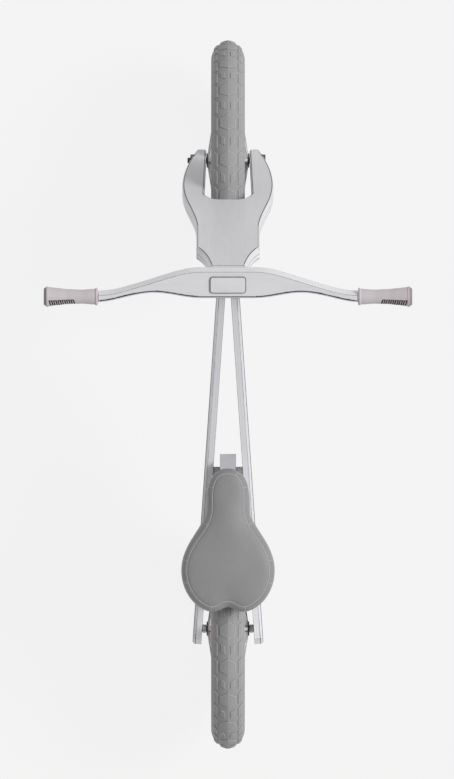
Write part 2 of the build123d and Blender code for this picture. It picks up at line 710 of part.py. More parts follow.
for name, side in (("side_board_left", -1), ("side_board_right", 1)):
    side_board = make_side_board(name, side)
    with BuildPart() as drilled_board:
        add(side_board.part)
        add(head_lug_bolts.part, mode=Mode.SUBTRACT)
        add(seat_block_screws.part, mode=Mode.SUBTRACT)
        for centre, seat, bolt, head in (
            (REAR_AXLE, rear_floor, AXLE_RADIUS, REAR_CAP_RADIUS),
            (clamp_centre, clamp_seat, CLAMP_RADIUS, CLAMP_HEAD_RADIUS),
        ):
            with BuildSketch(lateral_plane(Vector(0, centre.Y, centre.Z), side)):
                Circle(bolt)
            extrude(amount=2 * seat, mode=Mode.SUBTRACT)
            with BuildSketch(lateral_plane(Vector(side * seat, centre.Y, centre.Z), side)):
                Circle(head)
            extrude(amount=seat, mode=Mode.SUBTRACT)
        add(seat_clamp_nut.part, mode=Mode.SUBTRACT)
    finish(drilled_board, name)

# ---------------------------------------------------------------- steering column

lower_seat = LUG_BOTTOM - HEAD_BUSH_FLANGE - FACE_GAP
upper_seat = LUG_TOP + HEAD_BUSH_FLANGE + FACE_GAP
nut_floor = BAR_HEIGHT + NUT_POCKET_FLOOR
nut_base = nut_floor + WASHER

with BuildPart() as steering_column:
    with BuildSketch(steering_plane(crown_bottom)):
        Circle(COLUMN_RADIUS)
    extrude(amount=BAR_HEIGHT - crown_bottom)
    with BuildSketch(steering_plane(BAR_HEIGHT)):
        Circle(COLUMN_STUD_RADIUS)
    extrude(amount=nut_base + COLUMN_NUT_HEIGHT + STUD_SHOW - BAR_HEIGHT)
finish(steering_column, "steering_column")

with BuildPart() as lower_spacer:
    with BuildSketch(steering_plane(crown_top)):
        Circle(SPACER_RADIUS)
        Circle(COLUMN_RADIUS, mode=Mode.SUBTRACT)
    extrude(amount=lower_seat - crown_top)
finish(lower_spacer, "lower_spacer")

with BuildPart() as upper_spacer:
    with BuildSketch(steering_plane(upper_seat)):
        Circle(LUG_TUBE_RADIUS - 1)
        Circle(COLUMN_RADIUS, mode=Mode.SUBTRACT)
    extrude(amount=BAR_HEIGHT - upper_seat)
finish(upper_spacer, "upper_spacer")

with BuildPart() as column_washer:
    with BuildSketch(steering_plane(nut_floor)):
        Circle(NUT_POCKET_RADIUS - FACE_GAP)
        Circle(COLUMN_STUD_RADIUS, mode=Mode.SUBTRACT)
    extrude(amount=WASHER)
finish(column_washer, "column_washer")

with BuildPart() as column_nut:
    with BuildSketch(steering_plane(nut_base)):
        RegularPolygon(COLUMN_NUT_FLATS / 2, 6, major_radius=False)
        Circle(COLUMN_STUD_RADIUS, mode=Mode.SUBTRACT)
    extrude(amount=COLUMN_NUT_HEIGHT)
finish(column_nut, "column_nut")

# ---------------------------------------------------------------- handlebar

bar_top = BAR_HEIGHT + BAR_THICKNESS
end_front = BAR_END_CENTRE + BAR_END_DEPTH / 2
end_rear = BAR_END_CENTRE - BAR_END_DEPTH / 2
badge_floor = bar_top - BADGE_SUNK
frame_of_bar = steering_plane(BAR_HEIGHT)
bar_reach = BAR_END - BAR_STRAIGHT
front_curve = [(BAR_STRAIGHT + share * bar_reach, y) for share, y in BAR_FRONT_CURVE]
rear_curve = [(BAR_STRAIGHT + share * bar_reach, y) for share, y in BAR_REAR_CURVE]


def edge_is_long(edge):
    """True for an edge along the bar, not one down its ends."""
    return edge.length > BAR_THICKNESS + 5


def on_rear(edge):
    """True for a long edge on the rider's side of the bar."""
    place = frame_of_bar.to_local_coords(edge @ 0.5)
    return place.Y < BAR_END_CENTRE / 2 and abs(place.X) < BAR_END - 1 and edge_is_long(edge)


with BuildPart() as handlebar:
    with BuildSketch(steering_plane(BAR_HEIGHT)):
        with BuildLine():
            Line((0, BAR_FRONT), (BAR_STRAIGHT, BAR_FRONT))
            Spline((BAR_STRAIGHT, BAR_FRONT), *front_curve, (BAR_END, end_front),
                   tangents=((1, 0), (1, -0.05)))
            Line((BAR_END, end_front), (BAR_END, end_rear))
            Spline((BAR_END, end_rear), *rear_curve, (BAR_STRAIGHT, -BAR_REAR),
                   tangents=((-1, 0.05), (-1, 0)))
            Line((BAR_STRAIGHT, -BAR_REAR), (0, -BAR_REAR))
            Line((0, -BAR_REAR), (0, BAR_FRONT))
        make_face()
        mirror(about=Plane.YZ)
    extrude(amount=BAR_THICKNESS)
    across = Axis(frame_of_bar.origin, AXIS_UP)
    top_edges = handlebar.faces().sort_by(across)[-1].edges()
    low_edges = handlebar.faces().sort_by(across)[0].edges()
    rear_top = ShapeList([edge for edge in top_edges if on_rear(edge)])
    long_low = ShapeList([edge for edge in low_edges if edge_is_long(edge)])
    fillet(rear_top, BAR_REAR_ROUND)
    fillet(long_low, BAR_UNDER_ROUND)
    with BuildSketch(steering_plane(BAR_HEIGHT)):
        Circle(COLUMN_STUD_RADIUS)
    extrude(amount=BAR_THICKNESS, mode=Mode.SUBTRACT)
    with BuildSketch(steering_plane(nut_floor)):
        Circle(NUT_POCKET_RADIUS)
    extrude(amount=bar_top - nut_floor, mode=Mode.SUBTRACT)
    with BuildSketch(steering_plane(badge_floor)):
        RectangleRounded(BADGE_WIDTH, BADGE_DEPTH, BADGE_CORNER)
    extrude(amount=BADGE_SUNK, mode=Mode.SUBTRACT)
    for side in (-1, 1):
        tenon_at = frame_of_bar.from_local_coords((side * BAR_END, BAR_END_CENTRE, BAR_THICKNESS / 2))
        with BuildSketch(lateral_plane(tenon_at, side)):
            Circle(TENON_RADIUS)
        extrude(amount=TENON_LENGTH)
finish(handlebar, "handlebar")

with BuildPart() as badge_plate:
    with BuildSketch(steering_plane(badge_floor)):
        RectangleRounded(BADGE_WIDTH, BADGE_DEPTH, BADGE_CORNER)
    extrude(amount=BADGE_THICKNESS)
    badge_top = badge_plate.faces().sort_by(Axis(frame_of_bar.origin, AXIS_UP))[-1]
    fillet(badge_top.edges(), BADGE_ROUND)
finish(badge_plate, "badge_plate")

grip_start = BAR_END + FACE_GAP


def make_grip(name, cap_name, side):
    """Waisted rubber grip with a collar inside and a flange outside, and its end cap."""
    centre = frame_of_bar.from_local_coords((0, BAR_END_CENTRE, BAR_THICKNESS / 2))
    grip_frame = Plane(origin=centre, x_dir=(side, 0, 0), z_dir=(0, 0, 1))
    axis = Axis(centre, (side, 0, 0))
    end = grip_start + GRIP_LENGTH
    bore = TENON_RADIUS + GRIP_BORE_GAP
    with BuildPart() as grip:
        with BuildSketch(grip_frame):
            with BuildLine():
                flange_start = end - GRIP_FLANGE
                collar_end = grip_start + GRIP_COLLAR
                Polyline((end, 0), (end, GRIP_FLANGE_RADIUS), (flange_start, GRIP_FLANGE_RADIUS),
                         (flange_start, GRIP_OUTER_RADIUS))
                Spline((flange_start, GRIP_OUTER_RADIUS), (grip_start + GRIP_WAIST_AT, GRIP_WAIST_RADIUS),
                       (collar_end, GRIP_INNER_RADIUS))
                Polyline((collar_end, GRIP_INNER_RADIUS), (grip_start + GRIP_COLLAR / 2, GRIP_COLLAR_RADIUS),
                         (grip_start, GRIP_INNER_RADIUS), (grip_start, 0), (end, 0))
            make_face()
        revolve(axis=axis)
        with BuildSketch(lateral_plane(centre + Vector(side * grip_start, 0, 0), side)):
            Circle(bore)
        extrude(amount=GRIP_LENGTH, mode=Mode.SUBTRACT)
    finish(grip, name)
    with BuildPart() as cap:
        with BuildSketch(grip_frame):
            with BuildLine():
                Polyline((end - GRIP_PLUG, 0), (end - GRIP_PLUG, TENON_RADIUS), (end, TENON_RADIUS),
                         (end, GRIP_CAP_RADIUS), (end + GRIP_CAP, GRIP_CAP_FACE), (end + GRIP_CAP, 0),
                         close=True)
            make_face()
        revolve(axis=axis)
    finish(cap, cap_name)


make_grip("grip_left", "grip_cap_left", -1)
make_grip("grip_right", "grip_cap_right", 1)

# ---------------------------------------------------------------- seat carrier and saddle

beam_bottom = block_top + FACE_GAP
beam_front = block_front + CARRIER_NOSE
carrier_top = 2 * WHEEL_RADIUS + CARRIER_OVER_WHEEL
carrier_rear = saddle_front - CARRIER_REACH
post_bottom = block_bottom - POST_BELOW_BLOCK
carrier_side = Plane(origin=(-CARRIER_WIDTH / 2, 0, 0), x_dir=(0, 1, 0), z_dir=(1, 0, 0))

with BuildPart() as seat_carrier:
    with BuildSketch(carrier_side):
        with BuildLine():
            Polyline((beam_front, beam_bottom), (beam_front, beam_bottom + CARRIER_NOSE_HEIGHT),
                     (block_front - CARRIER_TOP_SETBACK, carrier_top), (carrier_rear, carrier_top),
                     (carrier_rear, carrier_top - CARRIER_TAIL),
                     (post_rear - CARRIER_BELLY[0], beam_bottom + CARRIER_BELLY[1]),
                     (post_rear - CARRIER_HEEL, beam_bottom), (post_rear, beam_bottom),
                     (post_rear, post_bottom), (post_front, post_bottom), (post_front, beam_bottom),
                     close=True)
        make_face()
    extrude(amount=CARRIER_WIDTH)
    front_face = seat_carrier.faces().sort_by(Axis.Y)[-1]
    fillet(front_face.edges().filter_by(Axis.X).sort_by(Axis.Z)[-1], CARRIER_NOSE_ROUND)
    with BuildSketch(carrier_side):
        with Locations((clamp_centre.Y, clamp_centre.Z - SEAT_TRAVEL / 2)):
            SlotCenterToCenter(SEAT_TRAVEL, 2 * (CLAMP_RADIUS + FACE_GAP), rotation=90)
    extrude(amount=CARRIER_WIDTH, mode=Mode.SUBTRACT)

plate_centre = saddle_front - PLATE_SETBACK
plate_top = carrier_top + PLATE_THICKNESS
pan_top = plate_top + PAN_THICKNESS


def saddle_outline(inset):
    """Pear-shaped saddle outline with a notch between two rear lobes."""
    nose = SADDLE_NOSE_HALF - inset
    wide = SADDLE_HALF_WIDTH - inset
    front = saddle_front - inset
    rear = saddle_front - SADDLE_LENGTH + inset
    notch = rear + SADDLE_NOTCH
    widest = saddle_front - 0.69 * SADDLE_LENGTH
    lobe = (0.37 * wide, rear)
    with BuildSketch(mode=Mode.PRIVATE) as outline:
        with BuildLine():
            Spline((0, front), (0.78 * nose, front - 11.4), (nose, saddle_front - 36),
                   (nose, saddle_front - 56), (0.8 * wide, widest + 33.6), (wide, widest), (0.8 * wide, widest - 39), lobe)
            ThreePointArc(lobe, (0.17 * wide, rear + 0.22 * SADDLE_NOTCH), (0, notch))
            Line((0, notch), (0, front))
        make_face()
        mirror(about=Plane.YZ)
    return outline.sketch


screw_grid = (PLATE_WIDTH - 2 * PLATE_EDGE, PLATE_LENGTH - 2 * PLATE_EDGE)
with BuildPart() as saddle_screws:
    with BuildSketch(Plane.XY.offset(carrier_top - SADDLE_SCREW_HEAD)):
        with Locations((0, plate_centre)):
            with GridLocations(*screw_grid, 2, 2):
                Circle(SCREW_HEAD_RADIUS)
    extrude(amount=SADDLE_SCREW_HEAD)
    with BuildSketch(Plane.XY.offset(carrier_top)):
        with Locations((0, plate_centre)):
            with GridLocations(*screw_grid, 2, 2):
                Circle(SCREW_RADIUS)
    extrude(amount=PLATE_THICKNESS + PAN_THICKNESS - 2)
finish(saddle_screws, "saddle_screws")

plate_screw_at = 0.35 * PLATE_LENGTH
with BuildPart() as plate_screws:
    with BuildSketch(Plane.XY.offset(plate_top)):
        with Locations((0, plate_centre - plate_screw_at), (0, plate_centre + plate_screw_at)):
            Circle(SCREW_RADIUS)
    extrude(amount=-PLATE_SCREW_LENGTH)
    with BuildSketch(Plane.XY.offset(plate_top)):
        with Locations((0, plate_centre - plate_screw_at), (0, plate_centre + plate_screw_at)):
            Circle(SCREW_HEAD_RADIUS)
    extrude(amount=-SCREW_HEAD)
finish(plate_screws, "plate_screws")

with BuildPart() as carrier_drilled:
    add(seat_carrier.part)
    add(plate_screws.part, mode=Mode.SUBTRACT)
finish(carrier_drilled, "seat_carrier")

with BuildPart() as saddle_plate:
    with BuildSketch(Plane.XY.offset(carrier_top)):
        with Locations((0, plate_centre)):
            RectangleRounded(PLATE_WIDTH, PLATE_LENGTH, PLATE_CORNER)
    extrude(amount=PLATE_THICKNESS)
    add(saddle_screws.part, mode=Mode.SUBTRACT)
    add(plate_screws.part, mode=Mode.SUBTRACT)
finish(saddle_plate, "saddle_plate")

with BuildPart() as saddle_pan:
    with BuildSketch(Plane.XY.offset(plate_top)):
        add(saddle_outline(PAN_INSET))
    extrude(amount=PAN_THICKNESS)
    add(saddle_screws.part, mode=Mode.SUBTRACT)
finish(saddle_pan, "saddle_pan")

with BuildPart() as saddle_cushion:
    with BuildSketch(Plane.XY.offset(pan_top)):
        add(saddle_outline(0))
    extrude(amount=CUSHION_THICKNESS)
    top_face = saddle_cushion.faces().sort_by(Axis.Z)[-1]
    fillet(top_face.edges(), CUSHION_TOP_ROUND)
finish(saddle_cushion, "saddle_cushion")
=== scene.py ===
import math

import bmesh
import bpy
from mathutils import Matrix, Vector
from mathutils.bvhtree import BVHTree


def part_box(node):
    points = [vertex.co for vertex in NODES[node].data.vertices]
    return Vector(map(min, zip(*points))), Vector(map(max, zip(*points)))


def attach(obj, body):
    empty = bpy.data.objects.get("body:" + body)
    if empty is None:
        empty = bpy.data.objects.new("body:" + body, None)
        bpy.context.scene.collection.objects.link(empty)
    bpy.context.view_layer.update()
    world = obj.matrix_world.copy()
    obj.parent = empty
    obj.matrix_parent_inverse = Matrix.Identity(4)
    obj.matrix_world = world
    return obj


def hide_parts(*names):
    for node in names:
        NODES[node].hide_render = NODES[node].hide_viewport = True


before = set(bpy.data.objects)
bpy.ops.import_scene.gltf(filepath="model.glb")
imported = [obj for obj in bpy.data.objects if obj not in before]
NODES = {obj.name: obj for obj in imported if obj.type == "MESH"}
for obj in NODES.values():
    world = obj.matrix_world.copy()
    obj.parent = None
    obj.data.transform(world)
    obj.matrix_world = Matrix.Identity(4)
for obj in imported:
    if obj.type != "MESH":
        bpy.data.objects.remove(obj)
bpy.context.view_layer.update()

MM = 0.001

# ---------------------------------------------------------------- camera and view

PHOTO_SPAN = 0.966               # length along the bike that the picture's long side covers
LENS = 800.0                     # a long lens, so that the view is almost without perspective
SENSOR = 36.0
FOCUS_HEIGHT = 0.28              # the height at which the span holds, between the tyres' and the bar's
VIEW_CENTRE = (-0.0012, 0.0063)
CLIP_NEAR = 0.1
CLIP_FAR = 20                    # in camera distances


def make_camera():
    data = bpy.data.cameras.new("top_camera")
    data.lens, data.sensor_width = LENS, SENSOR
    distance = PHOTO_SPAN * LENS / SENSOR
    data.clip_start, data.clip_end = CLIP_NEAR, CLIP_FAR * distance
    camera = bpy.data.objects.new("top_camera", data)
    camera.location = (*VIEW_CENTRE, FOCUS_HEIGHT + distance)
    bpy.context.scene.collection.objects.link(camera)
    bpy.context.scene.camera = camera


# ---------------------------------------------------------------- node material helpers


ARRIS_RADIUS = 0.9 * MM
ARRIS_SAMPLES = 6
ARRIS_FULL = 0.95                # agreement of rounded and flat normals where the line is full
ARRIS_NONE = 0.992               # and where it ends


class Shade:
    """A material under construction: short calls to add and join nodes."""

    def __init__(self, name, roughness, specular=0.4, **sockets):
        self.material = bpy.data.materials.new(name)
        self.material.use_nodes = True
        self.nodes = self.material.node_tree.nodes
        self.links = self.material.node_tree.links
        self.bsdf = self.nodes["Principled BSDF"]
        self.bsdf.inputs["Roughness"].default_value = roughness
        self.bsdf.inputs["Specular IOR Level"].default_value = specular
        for socket, value in sockets.items():
            self.bsdf.inputs[socket.replace("_", " ")].default_value = value
        self.place = self.nodes.new("ShaderNodeTexCoord").outputs["Object"]

    def node(self, kind, inputs=(), **settings):
        made = self.nodes.new(kind)
        for key, value in settings.items():
            setattr(made, key, value)
        for key, value in dict(inputs).items():
            if isinstance(value, bpy.types.NodeSocket):
                self.links.new(value, made.inputs[key])
            else:
                made.inputs[key].default_value = value
        return made

    def stretch(self, scale):
        """Object coordinates, scaled along each axis."""
        return self.times(self.place, scale)

    def dot(self, a, b):
        return self.node("ShaderNodeVectorMath", {0: a, 1: b}, operation="DOT_PRODUCT").outputs["Value"]

    def times(self, a, b):
        return self.node("ShaderNodeVectorMath", {0: a, 1: b}, operation="MULTIPLY").outputs[0]

    def noise(self, vector, scale, detail=4.0, roughness=0.55):
        return self.node("ShaderNodeTexNoise", {"Vector": vector, "Scale": scale, "Detail": detail,
                                                "Roughness": roughness}).outputs["Fac"]

    def ramp(self, value, stops):
        made = self.node("ShaderNodeValToRGB", {"Fac": value})
        ramp = made.color_ramp
        while len(ramp.elements) < len(stops):
            ramp.elements.new(0.5)
        for element, (position, colour) in zip(ramp.elements, stops):
            element.position, element.color = position, (*colour, 1)
        return made.outputs["Color"]

    def mix(self, factor, a, b):
        made = self.node("ShaderNodeMix", data_type="RGBA")
        for socket, value in ((0, factor), (6, a), (7, b)):
            if isinstance(value, bpy.types.NodeSocket):
                self.links.new(value, made.inputs[socket])
            else:
                made.inputs[socket].default_value = value if socket == 0 else (*value, 1)
        return made.outputs[2]

    def math(self, operation, a, b=0.0):
        return self.node("ShaderNodeMath", {0: a, 1: b}, operation=operation).outputs[0]

    def arris(self, colour, dark, radius=ARRIS_RADIUS):
        """The colour with a dark worn line along every sharp arris."""
        rounded = self.node("ShaderNodeBevel", {"Radius": radius}, samples=ARRIS_SAMPLES).outputs[0]
        flat = self.nodes.new("ShaderNodeNewGeometry").outputs["Normal"]
        worn = {0: self.dot(rounded, flat), 1: ARRIS_FULL, 2: ARRIS_NONE, 3: 1.0, 4: 0.0}
        return self.mix(self.node("ShaderNodeMapRange", worn).outputs[0], colour, dark)

    def colour(self, value):
        self.links.new(value, self.bsdf.inputs["Base Color"])

    def bump(self, height, distance, strength):
        made = self.node("ShaderNodeBump", {"Height": height, "Distance": distance, "Strength": strength})
        self.links.new(made.outputs[0], self.bsdf.inputs["Normal"])

    def rough(self, value, low, high):
        made = self.node("ShaderNodeMapRange", {0: value, 3: low, 4: high})
        self.links.new(made.outputs[0], self.bsdf.inputs["Roughness"])


def grey(level, tint=(0, 0, 0)):
    """Linear colour from a display grey of 0 to 255, with a small tint in the same units."""
    def linear(v):
        v /= 255
        return v / 12.92 if v <= 0.04045 else ((v + 0.055) / 1.055) ** 2.4
    return tuple(linear(level + t) for t in tint)


LINE_LEVEL = 46                  # grey of worn arrises
COOL = (0, 0, 3)
PINK = (4, 0, 2)
NEUTRAL = (0, 0, 0)
FIBRE_SCALE = (14, 160, 160)
WOOD_SCALE = (60, 500, 500)
BRUSH_SCALE = (90, 900, 900)
LAYER_PITCH = 1.5 * MM


def lacquered_ply(name, level, grain, layers, rim_band=(0.88, 0.985), edge_band=(0.02, 0.22)):
    """Light grey lacquer over plywood: faint grain on the faces and thin layer lines on the edges, whose
    tones are set lighter than the faces as painted light on the edges.

    grain is the direction that the grain runs, layers the direction across the plies. The two bands are
    ranges of the angle's cosine to that direction, where a rounding meets the face and where it meets the
    edge: there the lacquer is worn dark."""
    s = Shade(name, 0.42, 0.35, Coat_Weight=0.12, Coat_Roughness=0.3)
    along = Vector(grain).normalized()
    across = Vector(layers).normalized()
    rows = [s.dot(s.place, axis) for axis in (along, across, along.cross(across))]
    local = s.node("ShaderNodeCombineXYZ", dict(enumerate(rows))).outputs[0]
    fibre = s.noise(s.times(local, FIBRE_SCALE), 1.6, 5.0, 0.6)
    cloud = s.noise(local, 9.0, 2.0)
    tones = ((0.25, level - 5), (0.5, level), (0.8, level + 4))
    face = s.ramp(fibre, [(place, grey(tone, COOL)) for place, tone in tones])
    face = s.mix(s.math("MULTIPLY", cloud, 0.25), face, grey(level - 8, COOL))
    normal = s.nodes.new("ShaderNodeTexCoord").outputs["Normal"]
    flatness = s.math("ABSOLUTE", s.dot(normal, across))
    layer = s.math("FRACT", s.math("DIVIDE", rows[1], 2 * LAYER_PITCH))
    # edge tones: real dark layer lines, between bands set lighter than the face as painted light
    tones = ((0.0, level - 16), (0.12, level + 4), (0.5, level + 8), (0.88, level + 4))
    ply_layers_and_painted_light = s.ramp(layer, [(place, grey(tone, COOL)) for place, tone in tones])
    body = s.mix(s.math("LESS_THAN", flatness, 0.5), face, ply_layers_and_painted_light)
    black, white = (0, 0, 0), (1, 1, 1)
    for low, high in (edge_band, rim_band):
        rim = s.ramp(flatness, ((low, black), (low + 0.02, white), (high - 0.01, white), (high, black)))
        body = s.mix(rim, body, grey(LINE_LEVEL))
    s.colour(s.arris(body, grey(LINE_LEVEL)))
    s.bump(fibre, 0.18 * MM, 0.35)
    s.rough(cloud, 0.36, 0.5)
    return s.material


def plain_wood(name, level):
    """Painted solid wood: streaks along the grain under grey lacquer."""
    s = Shade(name, 0.45, 0.35)
    fibre = s.noise(s.stretch(WOOD_SCALE), 1.5, 5.0, 0.6)
    tone = s.ramp(fibre, ((0.25, grey(level - 7, COOL)), (0.8, grey(level + 4, COOL))))
    s.colour(s.arris(tone, grey(LINE_LEVEL)))
    s.bump(fibre, 0.2 * MM, 0.4)
    return s.material


def metal(name, level, roughness=0.34):
    """Brushed metal: fine streaks in colour and gloss."""
    s = Shade(name, roughness, 0.5, Metallic=0.85)
    streak = s.noise(s.stretch(BRUSH_SCALE), 1.0, 3.0)
    tone = s.ramp(streak, ((0.3, grey(level - 14)), (0.7, grey(level + 10))))
    s.colour(s.arris(tone, grey(level * 0.4), 0.5 * MM))
    s.rough(streak, roughness - 0.06, roughness + 0.1)
    s.bump(streak, 0.05 * MM, 0.3)
    return s.material


def plastic(name, level, tint=NEUTRAL, roughness=0.5, line=0.6 * MM, line_tone=0.35):
    """Moulded plastic: a fine even grain and slight mottling, with a dark line along its arrises."""
    s = Shade(name, roughness, 0.4)
    mottle = s.noise(s.place, 30.0, 2.0)
    tone = s.ramp(mottle, ((0.3, grey(level - 4, tint)), (0.7, grey(level + 4, tint))))
    s.colour(s.arris(tone, grey(level * line_tone), line))
    s.bump(s.noise(s.place, 900.0, 2.0), 0.12 * MM, 0.4)
    s.rough(mottle, roughness - 0.06, roughness + 0.08)
    return s.material


def rubber(name, level, tint=NEUTRAL, roughness=0.7, dust=10):
    """Soft rubber: matt, with dusty patches and a fine pebble."""
    s = Shade(name, roughness, 0.3)
    patch = s.noise(s.place, 22.0, 5.0, 0.65)
    s.colour(s.ramp(patch, ((0.3, grey(level - 3, tint)), (0.75, grey(level + dust * 0.5, tint)))))
    s.bump(s.noise(s.place, 1400.0, 2.0), 0.1 * MM, 0.5)
    s.rough(patch, roughness - 0.08, roughness + 0.1)
    return s.material


def leather(name, level, tint=(0, 0, 1)):
    """Synthetic leather: cells of grain whose creases are darkened as painted shade, soft sheen and a slight
    change of tone where it is worn.
    """
    s = Shade(name, 0.5, 0.35)
    cells = s.node("ShaderNodeTexVoronoi", {"Vector": s.place, "Scale": 420.0, "Randomness": 1.0},
                   feature="DISTANCE_TO_EDGE").outputs["Distance"]
    crease = s.math("MINIMUM", s.math("MULTIPLY", cells, 5.0), 1.0)
    wear = s.noise(s.place, 12.0, 4.0, 0.6)
    tone = s.ramp(wear, ((0.3, grey(level - 3, tint)), (0.72, grey(level + 4, tint))))
    # painted shade: the grain's creases are darkened toward a deeper grey
    crease_painted_shade = s.math("MULTIPLY", s.math("SUBTRACT", 1.0, crease), 0.25)
    s.colour(s.mix(crease_painted_shade, tone, grey(level - 16, tint)))
    s.bump(crease, 0.1 * MM, 0.4)
    s.rough(wear, 0.44, 0.58)
    return s.material


HEAD_LEAN = 20                   # degrees that the steering axis leans back
BOARD_SPLAY = math.atan(0.0695)
BOARD_GRAIN = (0, 0.85, 0.5)


def make_materials():
    """One procedural material for each kind of surface."""
    lean = math.radians(HEAD_LEAN)
    axis_up = (0, -math.sin(lean), math.cos(lean))
    forward = (0, math.cos(lean), math.sin(lean))
    right, left = [(math.cos(BOARD_SPLAY), side * math.sin(BOARD_SPLAY), 0) for side in (1, -1)]
    board_rim = (0.80, 0.985)
    return {
        "fork": lacquered_ply("fork_ply", 210, axis_up, forward),
        "bar": lacquered_ply("bar_ply", 219, (1, 0, 0), axis_up, (0.86, 0.985), (0.12, 0.42)),
        "board_right": lacquered_ply("board_ply_right", 222, BOARD_GRAIN, right, board_rim),
        "board_left": lacquered_ply("board_ply_left", 222, BOARD_GRAIN, left, board_rim),
        "wood": plain_wood("block_wood", 196),
        # the block wood made much lighter (248 against 196) as painted light, against the shade under the
        # saddle
        "block": plain_wood("seat_block_wood_painted_light", 248),
        "aluminium": metal("satin_aluminium", 196, 0.4),
        "steel": metal("dark_zinc", 92, 0.36),
        "bush": plastic("bush_plastic", 52, PINK, 0.45),
        "badge_line": plastic("badge_line_plastic", 84),
        "badge": plastic("badge_plastic", 218, COOL, 0.3),
        "grip": rubber("grip_rubber", 192, (3, -4, -1), 0.62, 8),
        "grip_dark": rubber("grip_rib_rubber", 18, (2, 0, 0), 0.7, 4),
        "grip_cap": rubber("grip_cap_rubber", 140, (5, -2, 1), 0.6, 6),
        "tyre": rubber("tyre_rubber", 150, (0, 0, 1), 0.72, 10),
        # lighter rubber on the tread blocks' edge rings: a painted highlight along the block edges
        "tyre_edge_painted_highlight": rubber("tyre_block_edge_painted_highlight", 172, NEUTRAL, 0.7, 6),
        "wheel": plastic("wheel_plastic", 216, PINK, 0.42, 1.3 * MM, 0.16),
        "pan": plastic("pan_plastic", 96, (0, 0, 2), 0.5),
        "saddle": leather("saddle_leather", 138),
        "seam": rubber("saddle_piping", 176, NEUTRAL, 0.55, 6),
    }


NODE_MATERIALS = {
    "side_board_left": "board_left", "side_board_right": "board_right",
    "fork_front_board": "fork", "fork_back_board": "fork", "fork_crown_block": "wood",
    # seat_block takes the lightened copy of the block wood: painted light against the shade under the saddle
    "handlebar": "bar", "seat_block": "block", "seat_carrier": "wood",
    "head_lug": "aluminium", "lower_spacer": "aluminium", "upper_spacer": "aluminium",
    "rear_axle_spacers": "aluminium", "badge_plate": "badge",
    "grip_cap_left": "grip_cap", "grip_cap_right": "grip_cap",
    "front_wheel_core": "wheel", "rear_wheel_core": "wheel", "saddle_pan": "pan",
}


def dress_cad_nodes(materials):
    """Give every carried-over CAD node its material."""
    for name, node in NODES.items():
        key = NODE_MATERIALS.get(name)
        if key is None:
            key = "bush" if "bush" in name else "steel"
        node.data.materials.clear()
        node.data.materials.append(materials[key])


# ---------------------------------------------------------------- mesh helpers


def make_piece(name, verts, faces, body, materials, face_materials=None, smooth=True):
    """A mesh piece in the row frame that rides on a body."""
    mesh = bpy.data.meshes.new(name)
    mesh.from_pydata([tuple(v) for v in verts], [], faces)
    for material in materials:
        mesh.materials.append(material)
    if face_materials:
        for polygon, index in zip(mesh.polygons, face_materials):
            polygon.material_index = index
    for polygon in mesh.polygons:
        polygon.use_smooth = smooth
    work = bmesh.new()
    work.from_mesh(mesh)
    bmesh.ops.recalc_face_normals(work, faces=work.faces)
    work.to_mesh(mesh)
    work.free()
    mesh.update()
    piece = bpy.data.objects.new(name, mesh)
    bpy.context.scene.collection.objects.link(piece)
    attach(piece, body)
    return piece


def sharpen(piece, degrees):
    """Mark edges that turn by more than an angle as sharp."""
    work = bmesh.new()
    work.from_mesh(piece.data)
    limit = math.radians(degrees)
    for edge in work.edges:
        if len(edge.link_faces) == 2 and edge.calc_face_angle() > limit:
            edge.smooth = False
    work.to_mesh(piece.data)
    work.free()


def centre_of(node):
    low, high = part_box(node)
    return (low + high) / 2, (high - low)


# ---------------------------------------------------------------- tyres

PITCHES = 20
BLOCK_HEIGHT = 1.1 * MM
BLOCK_ROOT = 0.8 * MM
ON_CROWN = 0.01 * MM
BLOCK_EDGE = 0.55 * MM
BLOCK_WALL = 0.8                 # share of the block's height where its walls end
BLOCK_CORE = 0.45                # size of the inner ring of a block's top
BLOCK_STEP = 2.4 * MM            # longest straight part of a block's side
SECTION_SHIFT = 3.0 * MM         # each half section is moved over, which leaves a low ridge at the crown
SECTION_STEPS = 22
TYRE_TURNS = 144
TREAD_SHARP = 5                  # degrees
RIM_TOP = 110.4 * MM
LIP_TOP = 114.3 * MM
LIP_INSIDE = 12.3 * MM

# outlines in millimetres along and across the crown
HEXAGON = ((-11, 0), (-5.5, 9.3), (4.5, 9.3), (11, 0), (4.5, -9.3), (-5.5, -9.3))
LOZENGE = ((-6.5, 3.3), (-3.5, 8.2), (6.0, 8.2), (3.5, 3.3))
KNOB = ((-10, 12.6), (-6.5, 17.0), (10.5, 17.0), (6.5, 12.6))


